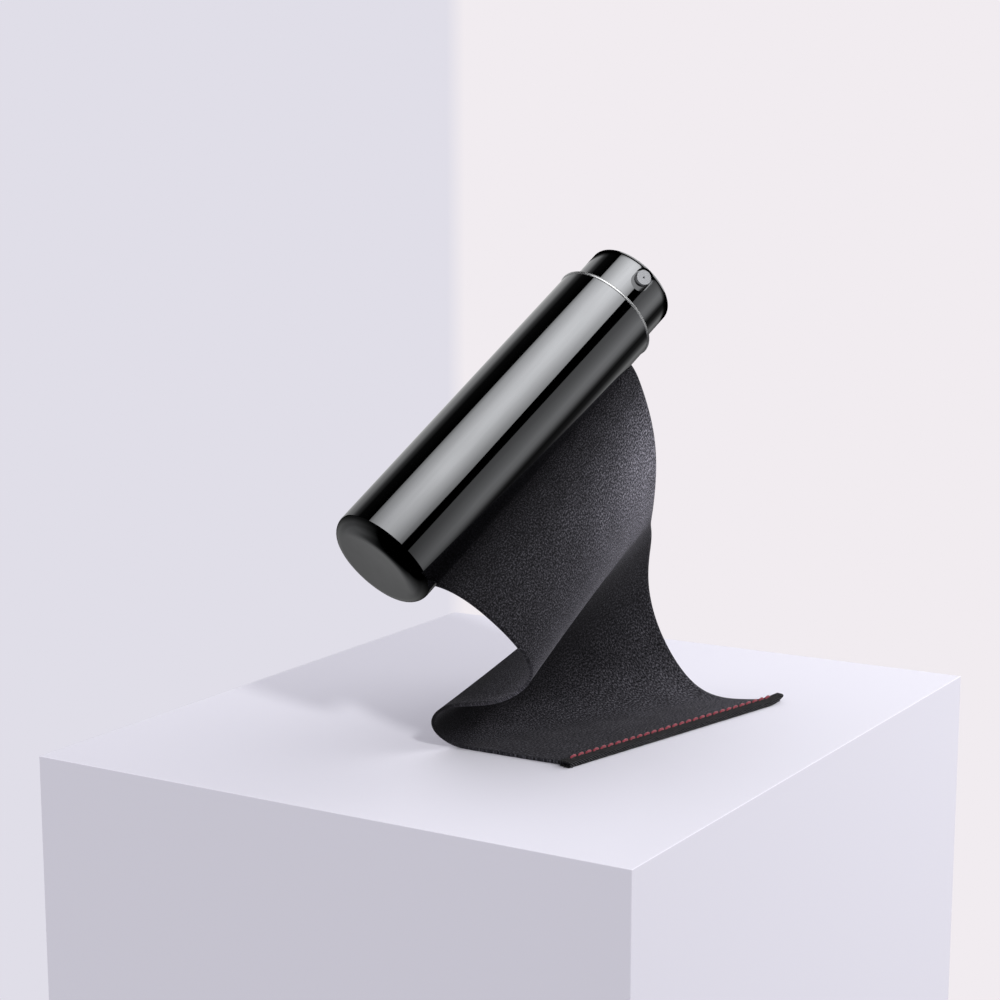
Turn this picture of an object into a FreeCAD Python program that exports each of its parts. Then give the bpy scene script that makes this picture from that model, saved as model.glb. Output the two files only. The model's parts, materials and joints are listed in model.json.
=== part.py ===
import FreeCAD, Part
import math
import os

from FreeCAD import Placement, Rotation, Vector
from Sketcher import Constraint

# Lens cleaning spray: a drawn metal shell with a pull-out refill and pump, standing on the
# microfibre cloth that is bonded to its back. Millimetres and degrees, +Z up, the table at Z = 0
# and the origin under the middle of the cloth's hem. The bottle's pieces are drawn upright about
# their own axis, base at height 0 and nozzle towards +X, and all get one leaning placement.

SIZES = {
    # the leaning bottle: where the middle of its base is, and how it leans
    "base_x": -84.6,
    "base_y": -55.2,
    "base_height": 61.0,
    "lean_elevation": 36.7,
    "lean_heading": 40.7,
    "nozzle_azimuth": 62.0,
    # fits
    "press_gap": 0.03,
    "running_gap": 0.06,
    "seat_gap": 0.1,
    # shell
    "shell_dia": 30,
    "shell_length": 101,
    "shell_wall": 0.8,
    "base_round": 4,
    "rim_chamfer": 0.3,
    # liner and cushion
    "liner_wall": 0.7,
    "liner_setback": 3,
    "liner_foot": 0.4,
    "grip_rib_count": 8,
    "grip_rib_width": 1.2,
    "grip_rib_length": 11,
    "cushion_thickness": 2,
    # vial
    "vial_gap": 1.27,
    "vial_wall": 1.2,
    "vial_shoulder": 3.5,
    "vial_round": 1.0,
    "neck_wall": 1.8,
    "neck_length": 10.1,
    "neck_setback": 14.9,
    # collar and its sleeve
    "thread_depth": 0.4,
    "collar_wall": 1.5,
    "collar_rib_height": 1.47,
    "collar_deck": 1.2,
    "collar_grip": 8.1,
    "deck_hole": 10.8,
    "collar_rib_count": 18,
    "collar_rib_width": 1.0,
    "sleeve_gap": 0.57,
    "sleeve_wall": 0.5,
    "sleeve_skirt": 0.5,
    # pump
    "gasket_thickness": 1.0,
    "flange_thickness": 1.2,
    "pump_bore": 7.6,
    "pump_wall": 0.8,
    "pump_depth": 17.3,
    "chamber_bore": 3.8,
    "chamber_depth": 2.6,
    "seat_hole": 1.8,
    "seat_thickness": 0.8,
    "socket_length": 7,
    "ball_dia": 3.0,
    "ball_clearance": 0.02,
    "retainer_depth": 3.5,
    "retainer_dia": 10.0,
    "retainer_cap": 0.9,
    "seal_thickness": 0.6,
    # stem, piston and spring
    "stem_dia": 3.8,
    "stem_bore": 1.6,
    "stem_foot_dia": 6.4,
    "stem_foot": 0.8,
    "stem_floor": 2.3,
    "stem_reach": 11.0,
    "port_dia": 0.8,
    "piston_height": 3.4,
    "piston_lip": 0.8,
    "piston_waist": 0.45,
    "spring_dia": 6.0,
    "spring_wire": 0.56,
    "spring_turns": 5,
    # dip tube
    "tube_bore": 2.0,
    "tube_dia": 3.0,
    "tube_clearance": 1.0,
    # spray head
    "head_gap": 0.47,
    "head_rise": 13.2,
    "head_skirt": 5.0,
    "head_wall": 0.6,
    "head_round": 1.5,
    "core_wall": 1.6,
    "core_setback": 0.6,
    "core_plate": 5.6,
    "boss_dia": 8.4,
    "boss_foot": 5.2,
    "feed_bore": 1.8,
    "side_feed_bore": 0.8,
    # nozzle in its oblong recess
    "recess_width": 5.3,
    "recess_length": 7.6,
    "recess_top": 0.5,
    "recess_depth": 1.6,
    "nozzle_dia": 4.2,
    "nozzle_depth": 2.8,
    "nozzle_stand": 1.0,
    "nozzle_face": 0.9,
    "orifice_dia": 0.5,
    "orifice_cone": 0.8,
    "post_dia": 2.0,
    # cloth
    "cloth_width": 92,
    "cloth_thickness": 0.8,
    "cloth_start": 9.7,
    "cloth_inset": 1.7,
    "bond_azimuth": 172.3,
    "bond_angle": 36,
    "bond_skew": 16,
    "bond_thickness": 0.25,
    "bond_margin": 1.0,
    # hem binding
    "hem_heading": 44.8,
    "hem_thickness": 1.7,
    "hem_wall": 0.3,
    "hem_width": 3.9,
    "hem_fold": 0.9,
    "hem_overhang": 1.3,
    "hem_round": 0.6,
}

# The middle of the cloth at its stations between the hem and the shell: where the left cut edge
# and the right cut edge pass. It lies flat, folds back over itself at the left, then swings up.
DRAPE = [
    ((-43.5, -26, 0.5), (26.5, 32.8, 0.65)),
    ((-55, -19.5, 0.45), (20, 33, 0.65)),
    ((-64, -15, 0.8), (8.5, 40, 2.6)),
    ((-68.5, -16.5, 3.5), (-2, 45, 16.5)),
    ((-71, -20, 8.5), (-7, 43, 33.5)),
    ((-67, -29.5, 16), (-7.1, 35.5, 48.5)),
    ((-54, -47.5, 22.5), (-7.9, 25.5, 56.5)),
    ((-45, -62.5, 32), (-8, 14.5, 64.5)),
    ((-46.5, -69.5, 42), (-8.5, 4, 84)),
    ((-57, -66.5, 52), (-13, -0.5, 101.5)),
]

SAMPLES_PER_SPAN = 2
ARC_STEPS = 3
RUNS_PER_TURN = 12
WIRE_SIDES = 8

doc = FreeCAD.newDocument("LensSpray")
sheet = doc.addObject("Spreadsheet::Sheet", "Sizes")
for row, (alias, number) in enumerate(SIZES.items(), start=1):
    sheet.set("A%d" % row, alias)
    sheet.set("B%d" % row, str(number))
    sheet.setAlias("B%d" % row, alias)
doc.recompute()


def named(alias):
    """The sheet's value of one size."""
    return float(sheet.get(alias))


def value(expression):
    """The number that an expression over the sheet gives."""
    result = sheet.evalExpression(expression)
    return float(getattr(result, "Value", result))


def half(alias):
    return "Sizes.%s / 2" % alias


# Radii and heights that more than one piece uses, as expressions over the sheet.
SHELL_BORE = "Sizes.shell_dia / 2 - Sizes.shell_wall"
LINER_OUT = SHELL_BORE + " - Sizes.press_gap"
LINER_IN = LINER_OUT + " - Sizes.liner_wall"
VIAL_OUT = LINER_IN + " - Sizes.vial_gap"
SLEEVE_OUT = LINER_IN + " - Sizes.sleeve_gap"
SLEEVE_IN = SLEEVE_OUT + " - Sizes.sleeve_wall"
COLLAR_RIB = SLEEVE_IN + " - Sizes.press_gap"
COLLAR_OUT = COLLAR_RIB + " - Sizes.collar_rib_height"
COLLAR_IN = COLLAR_OUT + " - Sizes.collar_wall"
NECK_OUT = COLLAR_IN + " - Sizes.thread_depth"
NECK_IN = NECK_OUT + " - Sizes.neck_wall"
FLANGE_OUT = NECK_OUT + " - Sizes.seat_gap"
PUMP_OUT = "Sizes.pump_bore / 2 + Sizes.pump_wall"
CHAMBER_OUT = "Sizes.chamber_bore / 2 + Sizes.pump_wall"
RETAINER_IN = "Sizes.stem_dia / 2 + Sizes.running_gap"
IN_PUMP = "Sizes.pump_bore / 2 - Sizes.press_gap"
HEAD_OUT = LINER_IN + " - Sizes.head_gap"
COVER_IN = HEAD_OUT + " - Sizes.head_wall"

CUSHION_TOP = "Sizes.shell_wall + Sizes.cushion_thickness"
VIAL_BASE = CUSHION_TOP + " + Sizes.seat_gap"
VIAL_FLOOR = VIAL_BASE + " + Sizes.vial_wall"
NECK_TOP = "Sizes.shell_length - Sizes.neck_setback"
NECK_BASE = NECK_TOP + " - Sizes.neck_length"
SHOULDER = NECK_BASE + " - Sizes.vial_shoulder"
FLANGE_BASE = NECK_TOP + " + Sizes.gasket_thickness"
FLANGE_TOP = FLANGE_BASE + " + Sizes.flange_thickness"
COLLAR_TOP = FLANGE_TOP + " + Sizes.collar_deck"
COLLAR_BASE = NECK_TOP + " - Sizes.collar_grip"
SLEEVE_TOP = COLLAR_TOP + " + Sizes.sleeve_wall"
LEDGE = FLANGE_TOP + " - Sizes.pump_depth"
SEAT_TOP = LEDGE + " - Sizes.chamber_depth"
SEAT_BASE = SEAT_TOP + " - Sizes.seat_thickness"
SOCKET_BASE = SEAT_BASE + " - Sizes.socket_length"
RETAINER_BASE = FLANGE_TOP + " - Sizes.retainer_depth"
SEAL_BASE = RETAINER_BASE + " - Sizes.seal_thickness"
PISTON_TOP = SEAL_BASE + " - Sizes.seat_gap"
PISTON_BASE = PISTON_TOP + " - Sizes.piston_height"
FOOT_BASE = PISTON_BASE + " - Sizes.stem_foot"
STEM_TOP = SLEEVE_TOP + " + Sizes.stem_reach"
HEAD_TOP = "Sizes.shell_length + Sizes.head_rise"
HEAD_BASE = "Sizes.shell_length - Sizes.head_skirt"
CORE_TOP = HEAD_TOP + " - Sizes.head_wall"
CORE_UNDER = CORE_TOP + " - Sizes.core_plate"
RECESS_TOP = HEAD_TOP + " - Sizes.recess_top"
NOZZLE_HEIGHT = RECESS_TOP + " - Sizes.recess_width / 2"
RECESS_FLOOR = HEAD_OUT + " - Sizes.recess_depth"


def lean():
    """Placement of the bottle: its axis leans, and local +X is the nozzle's direction."""
    elevation = math.radians(named("lean_elevation"))
    heading = math.radians(named("lean_heading"))
    flat = Vector(math.cos(heading), math.sin(heading), 0)
    axis = flat * math.cos(elevation) + Vector(0, 0, math.sin(elevation))
    upward = Vector(0, 0, math.cos(elevation)) - flat * math.sin(elevation)
    turn = Rotation(axis, named("nozzle_azimuth"))
    x_axis = turn.multVec(upward)
    y_axis = axis.cross(x_axis)
    base = Vector(named("base_x"), named("base_y"), named("base_height"))
    return Placement(base, Rotation(x_axis, y_axis, axis, "ZXY"))


LEAN = lean()
parts = []


def keep(thing, label, placement):
    thing.Label = label
    thing.Placement = placement
    parts.append(thing)
    return thing


def new_body(label, placement=LEAN):
    body = doc.addObject("PartDesign::Body", label)
    return keep(body, label, placement)


def sketch_on(body, name, role, offset=None):
    """Sketch on one of the body's own origin planes, moved off it by an expression."""
    sketch = body.newObject("Sketcher::SketchObject", name)
    plane = [f for f in body.Origin.OriginFeatures if f.Role == role][0]
    sketch.AttachmentSupport = [(plane, "")]
    sketch.MapMode = "FlatFace"
    if offset:
        sketch.setExpression(".AttachmentOffset.Base.z", offset)
    return sketch


def bind(sketch, kind, geometry, point, expression):
    """Hold one point's distance from the sketch's origin to an expression."""
    number = value(expression)
    if abs(number) < 1e-9:
        return
    first, second = ((-1, 1), (geometry, point)) if number > 0 else ((geometry, point), (-1, 1))
    index = sketch.addConstraint(Constraint(kind, *first, *second, abs(number)))
    signed = expression if number > 0 else "-(%s)" % expression
    sketch.setExpression("Constraints[%d]" % index, signed)


def outline(sketch, corners):
    """Closed outline through corners given as pairs of expressions."""
    spots = [Vector(value(across), value(along), 0) for across, along in corners]
    count = len(corners)
    for index in range(count):
        sketch.addGeometry(Part.LineSegment(spots[index], spots[(index + 1) % count]), False)
    for index in range(count):
        sketch.addConstraint(Constraint("Coincident", index, 2, (index + 1) % count, 1))
    for index, (across, along) in enumerate(corners):
        if abs(spots[index].x) < 1e-9:
            sketch.addConstraint(Constraint("PointOnObject", index, 1, -2))
        bind(sketch, "DistanceX", index, 1, across)
        if abs(spots[index].y) < 1e-9:
            sketch.addConstraint(Constraint("PointOnObject", index, 1, -1))
        bind(sketch, "DistanceY", index, 1, along)
    return sketch


def circle(sketch, height, diameter):
    """Circle on the sketch's upright axis."""
    centre = Vector(0, value(height), 0)
    index = sketch.addGeometry(Part.Circle(centre, Vector(0, 0, 1), value(diameter) / 2), False)
    sketch.addConstraint(Constraint("PointOnObject", index, 3, -2))
    bind(sketch, "DistanceY", index, 3, height)
    size = sketch.addConstraint(Constraint("Diameter", index, value(diameter)))
    sketch.setExpression("Constraints[%d]" % size, diameter)
    return sketch


def revolve(body, corners, angle=None):
    sketch = outline(sketch_on(body, body.Label + "_profile", "XZ_Plane"), corners)
    turned = body.newObject("PartDesign::Revolution", body.Label + "_turned")
    turned.Profile = sketch
    turned.ReferenceAxis = (sketch, ["V_Axis"])
    turned.Angle = 360
    if angle:
        turned.setExpression("Angle", angle)
    body.Tip = turned
    doc.recompute()
    return turned


def cut(body, name, sketch, depth=None, outward=False):
    """Pocket from a sketch: away from its normal, or along it, and through all with no depth."""
    before = body.Shape.Volume
    pocket = body.newObject("PartDesign::Pocket", name)
    pocket.Profile = sketch
    pocket.Reversed = outward
    if depth:
        pocket.setExpression("Length", depth)
    else:
        pocket.Type = 1
        pocket.Midplane = not outward
    body.Tip = pocket
    doc.recompute()
    if not body.Shape.Volume < before - 1e-6:
        raise RuntimeError("%s cuts nothing" % name)
    return pocket


def round_rings(body, kind, rings):
    """Fillet or chamfer the circular edges at the given (radius, height, size) expressions."""
    for count, (radius, height, size) in enumerate(rings):
        base = body.Tip
        edges = [
            "Edge%d" % index
            for index, edge in enumerate(base.Shape.Edges, start=1)
            if isinstance(edge.Curve, Part.Circle)
            and abs(edge.Curve.Radius - value(radius)) < 1e-4
            and abs(edge.Curve.Center.z - value(height)) < 1e-4
        ]
        name = "%s_%s%d" % (body.Label, kind.lower(), count)
        feature = body.newObject("PartDesign::" + kind, name)
        feature.Base = (base, edges)
        feature.setExpression("Radius" if kind == "Fillet" else "Size", size)
        body.Tip = feature
        doc.recompute()


def ribs(body, inner, outer, base, length, width, count):
    """Ring of upright ribs from one radius to another."""
    before = body.Tip
    sketch = sketch_on(body, body.Label + "_rib_outline", "XY_Plane", base)
    low = "-(%s) / 2" % width
    high = "(%s) / 2" % width
    outline(sketch, [(inner, low), (outer, low), (outer, high), (inner, high)])
    rib = body.newObject("PartDesign::Pad", body.Label + "_rib")
    rib.Profile = sketch
    rib.setExpression("Length", length)
    body.Tip = rib
    doc.recompute()
    ring = body.newObject("PartDesign::PolarPattern", body.Label + "_ribs")
    ring.Originals = [rib]
    ring.Axis = (sketch, ["N_Axis"])
    ring.setExpression("Occurrences", count)
    body.Tip = ring
    doc.recompute()
    if not ring.Shape.Volume > before.Shape.Volume:
        raise RuntimeError("the ribs of %s add nothing" % body.Label)


def make_shell():
    body = new_body("outer_shell")
    revolve(body, [
        ("0", "0"),
        (half("shell_dia"), "0"),
        (half("shell_dia"), "Sizes.shell_length"),
        (SHELL_BORE, "Sizes.shell_length"),
        (SHELL_BORE, "Sizes.shell_wall"),
        ("0", "Sizes.shell_wall"),
    ])
    round_rings(body, "Fillet", [
        (half("shell_dia"), "0", "Sizes.base_round"),
        (SHELL_BORE, "Sizes.shell_wall", "Sizes.base_round - Sizes.shell_wall"),
    ])
    round_rings(body, "Chamfer", [(half("shell_dia"), "Sizes.shell_length", "Sizes.rim_chamfer")])


def make_liner():
    body = new_body("shell_liner")
    foot = "Sizes.base_round + Sizes.liner_foot"
    top = "Sizes.shell_length - Sizes.liner_setback"
    revolve(body, [(LINER_IN, foot), (LINER_OUT, foot), (LINER_OUT, top), (LINER_IN, top)])
    ribs(
        body,
        SLEEVE_OUT + " + Sizes.running_gap",
        LINER_IN + " + Sizes.liner_wall / 2",
        SLEEVE_TOP + " - Sizes.grip_rib_length",
        "Sizes.grip_rib_length",
        "Sizes.grip_rib_width",
        "Sizes.grip_rib_count",
    )


def make_cushion():
    body = new_body("base_cushion")
    edge = SHELL_BORE + " - (Sizes.base_round - Sizes.shell_wall)"
    floor = "Sizes.shell_wall"
    revolve(body, [("0", floor), (edge, floor), (edge, CUSHION_TOP), ("0", CUSHION_TOP)])


def make_vial():
    body = new_body("vial")
    bore = VIAL_OUT + " - Sizes.vial_wall"
    revolve(body, [
        ("0", VIAL_BASE),
        (VIAL_OUT, VIAL_BASE),
        (VIAL_OUT, SHOULDER),
        (NECK_OUT, NECK_BASE),
        (NECK_OUT, NECK_TOP),
        (NECK_IN, NECK_TOP),
        (NECK_IN, NECK_BASE + " - Sizes.vial_wall / 2"),
        (bore, SHOULDER + " - Sizes.vial_wall / 2"),
        (bore, VIAL_FLOOR),
        ("0", VIAL_FLOOR),
    ])
    round_rings(body, "Fillet", [
        (VIAL_OUT, VIAL_BASE, "Sizes.vial_round"),
        (VIAL_OUT, SHOULDER, "Sizes.vial_round"),
    ])


def make_gasket():
    body = new_body("neck_gasket")
    revolve(body, [
        (NECK_IN, NECK_TOP),
        (FLANGE_OUT, NECK_TOP),
        (FLANGE_OUT, FLANGE_BASE),
        (NECK_IN, FLANGE_BASE),
    ])


def make_collar():
    body = new_body("pump_collar")
    revolve(body, [
        (COLLAR_IN, COLLAR_BASE),
        (COLLAR_OUT, COLLAR_BASE),
        (COLLAR_OUT, COLLAR_TOP),
        (half("deck_hole"), COLLAR_TOP),
        (half("deck_hole"), FLANGE_TOP),
        (COLLAR_IN, FLANGE_TOP),
    ])
    ribs(
        body,
        COLLAR_OUT + " - Sizes.collar_wall / 2",
        COLLAR_RIB,
        COLLAR_BASE,
        "(%s) - (%s)" % (COLLAR_TOP, COLLAR_BASE),
        "Sizes.collar_rib_width",
        "Sizes.collar_rib_count",
    )


def make_sleeve():
    body = new_body("collar_sleeve")
    skirt = COLLAR_BASE + " - Sizes.sleeve_skirt"
    revolve(body, [
        (SLEEVE_IN, skirt),
        (SLEEVE_OUT, skirt),
        (SLEEVE_OUT, SLEEVE_TOP),
        (half("deck_hole"), SLEEVE_TOP),
        (half("deck_hole"), COLLAR_TOP),
        (SLEEVE_IN, COLLAR_TOP),
    ])
    round_rings(body, "Fillet", [(SLEEVE_OUT, SLEEVE_TOP, "Sizes.sleeve_wall * 0.8")])


def make_pump_housing():
    body = new_body("pump_housing")
    socket = "Sizes.tube_dia / 2 + Sizes.press_gap"
    step = LEDGE + " - Sizes.pump_wall"
    revolve(body, [
        (FLANGE_OUT, FLANGE_BASE),
        (FLANGE_OUT, FLANGE_TOP),
        (half("pump_bore"), FLANGE_TOP),
        (half("pump_bore"), LEDGE),
        (half("chamber_bore"), LEDGE),
        (half("chamber_bore"), SEAT_TOP),
        (half("seat_hole"), SEAT_TOP),
        (half("seat_hole"), SEAT_BASE),
        (socket, SEAT_BASE),
        (socket, SOCKET_BASE),
        (CHAMBER_OUT, SOCKET_BASE),
        (CHAMBER_OUT, step + " - ((%s) - (%s))" % (PUMP_OUT, CHAMBER_OUT)),
        (PUMP_OUT, step),
        (PUMP_OUT, FLANGE_BASE),
    ])


def make_retainer():
    body = new_body("stem_retainer")
    revolve(body, [
        (RETAINER_IN, RETAINER_BASE),
        (IN_PUMP, RETAINER_BASE),
        (IN_PUMP, FLANGE_TOP),
        (half("retainer_dia"), FLANGE_TOP),
        (half("retainer_dia"), FLANGE_TOP + " + Sizes.retainer_cap"),
        (RETAINER_IN, FLANGE_TOP + " + Sizes.retainer_cap"),
    ])


def make_seal():
    body = new_body("stem_seal")
    revolve(body, [
        (RETAINER_IN, SEAL_BASE),
        (IN_PUMP, SEAL_BASE),
        (IN_PUMP, RETAINER_BASE),
        (RETAINER_IN, RETAINER_BASE),
    ])


def make_stem():
    body = new_body("pump_stem")
    bore_floor = FOOT_BASE + " + Sizes.stem_floor"
    revolve(body, [
        ("0", FOOT_BASE),
        (half("stem_foot_dia"), FOOT_BASE),
        (half("stem_foot_dia"), PISTON_BASE),
        (half("stem_dia"), PISTON_BASE),
        (half("stem_dia"), STEM_TOP),
        (half("stem_bore"), STEM_TOP),
        (half("stem_bore"), bore_floor),
        ("0", bore_floor),
    ])
    port_outline = sketch_on(body, "port_outline", "XZ_Plane")
    circle(port_outline, bore_floor + " + Sizes.port_dia", "Sizes.port_dia")
    cut(body, "exhaust_port", port_outline)


def make_piston():
    body = new_body("pump_piston")
    bore = "Sizes.stem_dia / 2 + Sizes.press_gap"
    lip = "Sizes.pump_bore / 2 - Sizes.running_gap"
    waist = lip + " - Sizes.piston_waist"
    revolve(body, [
        (bore, PISTON_BASE),
        (lip, PISTON_BASE),
        (lip, PISTON_BASE + " + Sizes.piston_lip"),
        (waist, PISTON_BASE + " + Sizes.piston_lip + Sizes.piston_waist"),
        (waist, PISTON_TOP + " - Sizes.piston_lip - Sizes.piston_waist"),
        (lip, PISTON_TOP + " - Sizes.piston_lip"),
        (lip, PISTON_TOP),
        (bore, PISTON_TOP),
    ])


def make_spring():
    """Coil of straight runs, mitred where they meet, from an eight-sided wire."""
    radius = named("spring_dia") / 2
    wire = named("spring_wire") / 2
    foot = value(LEDGE) + wire
    rise = value(FOOT_BASE) - wire - foot
    runs = int(named("spring_turns")) * RUNS_PER_TURN
    spots = []
    for run in range(runs + 1):
        angle = 2 * math.pi * run / RUNS_PER_TURN
        height = foot + rise * run / runs
        spots.append(Vector(radius * math.cos(angle), radius * math.sin(angle), height))
    ahead = (spots[1] - spots[0]).normalize()
    outward = Vector(1, 0, 0)
    upward = ahead.cross(outward).normalize()
    ring = []
    for corner in range(WIRE_SIDES + 1):
        angle = 2 * math.pi * (corner + 0.5) / WIRE_SIDES
        spoke = outward * math.cos(angle) + upward * math.sin(angle)
        ring.append(spots[0] + spoke * wire)
    coil = Part.makePolygon(spots).makePipeShell([Part.makePolygon(ring)], True, False, 1)
    spring = doc.addObject("Part::Feature", "return_spring")
    spring.Shape = coil
    keep(spring, "return_spring", LEAN)


def make_ball():
    ball = doc.addObject("Part::Sphere", "ball")
    ball.setExpression("Radius", half("ball_dia"))
    rise = "sqrt((Sizes.ball_dia / 2)^2 - (Sizes.seat_hole / 2)^2)"
    centre = SEAT_TOP + " + Sizes.ball_clearance + " + rise
    place = LEAN.multiply(Placement(Vector(0, 0, value(centre)), Rotation()))
    keep(ball, "inlet_ball", place)


def make_dip_tube():
    body = new_body("dip_tube")
    foot = VIAL_FLOOR + " + Sizes.tube_clearance"
    top = SEAT_BASE
    revolve(body, [
        (half("tube_bore"), foot),
        (half("tube_dia"), foot),
        (half("tube_dia"), top),
        (half("tube_bore"), top),
    ])
    slant = sketch_on(body, "slant_outline", "XZ_Plane")
    out = "Sizes.tube_dia"
    outline(slant, [
        ("-" + out, foot + " - Sizes.seat_gap"),
        (out, foot + " - Sizes.seat_gap"),
        (out, foot + " + Sizes.tube_dia * 2 - Sizes.seat_gap"),
    ])
    cut(body, "slant_foot", slant)


def make_core():
    body = new_body("actuator_core")
    skin = COVER_IN + " - Sizes.press_gap"
    inside = skin + " - Sizes.core_wall"
    corner = "Sizes.head_round"
    socket = "Sizes.stem_dia / 2 + Sizes.running_gap"
    boss_base = SLEEVE_TOP + " + Sizes.boss_foot"
    core_base = HEAD_BASE + " + Sizes.core_setback"
    feed_top = NOZZLE_HEIGHT + " + Sizes.nozzle_dia / 2 - Sizes.side_feed_bore / 4"
    revolve(body, [
        (socket, boss_base),
        (half("boss_dia"), boss_base),
        (half("boss_dia"), CORE_UNDER),
        (inside, CORE_UNDER),
        (inside, core_base),
        (skin, core_base),
        (skin, CORE_TOP + " - " + corner),
        (skin + " - " + corner, CORE_TOP),
        ("0", CORE_TOP),
        ("0", feed_top),
        (half("feed_bore"), feed_top),
        (half("feed_bore"), STEM_TOP),
        (socket, STEM_TOP),
    ])
    recess = oblong(body, "core_recess_outline", RECESS_FLOOR)
    cut(body, "core_recess", recess, "Sizes.recess_depth * 2", outward=True)
    seat = sketch_on(body, "nozzle_seat_outline", "YZ_Plane", RECESS_FLOOR + " - Sizes.nozzle_depth")
    circle(seat, NOZZLE_HEIGHT, "Sizes.nozzle_dia + Sizes.press_gap * 2")
    circle(seat, NOZZLE_HEIGHT, "Sizes.post_dia")
    cut(body, "nozzle_seat", seat, "Sizes.nozzle_depth + Sizes.recess_depth", outward=True)
    feed_height = NOZZLE_HEIGHT + " + Sizes.nozzle_dia / 2 - Sizes.side_feed_bore"
    feed = sketch_on(body, "side_feed_outline", "YZ_Plane")
    circle(feed, feed_height, "Sizes.side_feed_bore")
    cut(body, "side_feed", feed, RECESS_FLOOR + " - Sizes.nozzle_depth", outward=True)


def oblong(body, name, offset):
    """The round-ended recess, upright, with the nozzle at its top end."""
    sketch = sketch_on(body, name, "YZ_Plane", offset)
    radius = "Sizes.recess_width / 2"
    top = value(NOZZLE_HEIGHT)
    bottom_height = RECESS_TOP + " - Sizes.recess_length + Sizes.recess_width / 2"
    bottom = value(bottom_height)
    wide = value(radius)
    upper = Part.Circle(Vector(0, top, 0), Vector(0, 0, 1), wide)
    lower = Part.Circle(Vector(0, bottom, 0), Vector(0, 0, 1), wide)
    sketch.addGeometry(Part.ArcOfCircle(upper, 0, math.pi), False)
    sketch.addGeometry(Part.LineSegment(Vector(-wide, top, 0), Vector(-wide, bottom, 0)), False)
    sketch.addGeometry(Part.ArcOfCircle(lower, math.pi, 2 * math.pi), False)
    sketch.addGeometry(Part.LineSegment(Vector(wide, bottom, 0), Vector(wide, top, 0)), False)
    for first, second in ((0, 1), (1, 2), (2, 3), (3, 0)):
        sketch.addConstraint(Constraint("Tangent", first, 2, second, 1))
    for arc in (0, 2):
        sketch.addConstraint(Constraint("PointOnObject", arc, 3, -2))
    bind(sketch, "DistanceY", 0, 3, NOZZLE_HEIGHT)
    bind(sketch, "DistanceY", 2, 3, bottom_height)
    size = sketch.addConstraint(Constraint("Radius", 0, wide))
    sketch.setExpression("Constraints[%d]" % size, radius)
    sketch.addConstraint(Constraint("Vertical", 1))
    return sketch


def make_cover():
    body = new_body("head_cover")
    revolve(body, [
        (COVER_IN, HEAD_BASE),
        (HEAD_OUT, HEAD_BASE),
        (HEAD_OUT, HEAD_TOP),
        ("0", HEAD_TOP),
        ("0", CORE_TOP),
        (COVER_IN, CORE_TOP),
    ])
    round_rings(body, "Fillet", [
        (HEAD_OUT, HEAD_TOP, "Sizes.head_round"),
        (COVER_IN, CORE_TOP, "Sizes.head_round - Sizes.head_wall"),
    ])
    slot = oblong(body, "cover_recess_outline", RECESS_FLOOR)
    cut(body, "cover_recess", slot, "Sizes.recess_depth * 2", outward=True)


def make_nozzle():
    """A cup over the core's post: the fluid swirls under its face and leaves by the orifice."""
    body = new_body("nozzle_insert")
    back = RECESS_FLOOR + " - Sizes.nozzle_depth + Sizes.seat_gap"
    front = RECESS_FLOOR + " + Sizes.nozzle_stand"
    barrel_outline = sketch_on(body, "barrel_outline", "YZ_Plane", back)
    circle(barrel_outline, NOZZLE_HEIGHT, "Sizes.nozzle_dia")
    barrel = body.newObject("PartDesign::Pad", "nozzle_barrel")
    barrel.Profile = barrel_outline
    barrel.setExpression("Length", "(%s) - (%s)" % (front, back))
    body.Tip = barrel
    doc.recompute()
    bore = sketch_on(body, "cup_outline", "YZ_Plane", front + " - Sizes.nozzle_face")
    circle(bore, NOZZLE_HEIGHT, "Sizes.post_dia + Sizes.press_gap * 2")
    cut(body, "nozzle_cup", bore, "(%s) - (%s)" % (front + " - Sizes.nozzle_face", back))
    hole = sketch_on(body, "orifice_outline", "YZ_Plane", front)
    circle(hole, NOZZLE_HEIGHT, "Sizes.orifice_dia")
    cut(body, "orifice", hole, "Sizes.nozzle_face")
    drilled = body.Tip
    rings = [
        "Edge%d" % index
        for index, edge in enumerate(drilled.Shape.Edges, start=1)
        if isinstance(edge.Curve, Part.Circle)
        and abs(edge.Curve.Radius - named("orifice_dia") / 2) < 1e-4
        and abs(edge.Curve.Center.x - value(front)) < 1e-4
    ]
    cone = body.newObject("PartDesign::Chamfer", "orifice_cone")
    cone.Base = (drilled, rings)
    cone.setExpression("Size", "(Sizes.orifice_cone - Sizes.orifice_dia) / 2")
    body.Tip = cone
    doc.recompute()


def around(azimuth):
    """Placement of the bottle turned so that local +X points at an azimuth about its axis."""
    turn = Rotation(Vector(0, 0, 1), azimuth - named("nozzle_azimuth"))
    return LEAN.multiply(Placement(Vector(0, 0, 0), turn))


def make_bond():
    gap = "Sizes.press_gap"
    inner = "Sizes.shell_dia / 2 + " + gap
    outer = "Sizes.shell_dia / 2 + Sizes.bond_thickness - " + gap
    low = "Sizes.cloth_start + Sizes.bond_margin"
    high = "Sizes.cloth_start + Sizes.cloth_width - Sizes.cloth_inset - Sizes.bond_margin"
    margin = math.degrees(named("bond_margin") / (named("shell_dia") / 2))
    body = new_body("bond_strip", around(named("bond_azimuth") + named("bond_angle") - margin))
    revolve(body, [(inner, low), (outer, low), (outer, high), (inner, high)],
            "Sizes.bond_angle - 2 * %r" % margin)


def shell_point(azimuth, radius, height):
    return around(azimuth).multVec(Vector(radius, 0, height))


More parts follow.
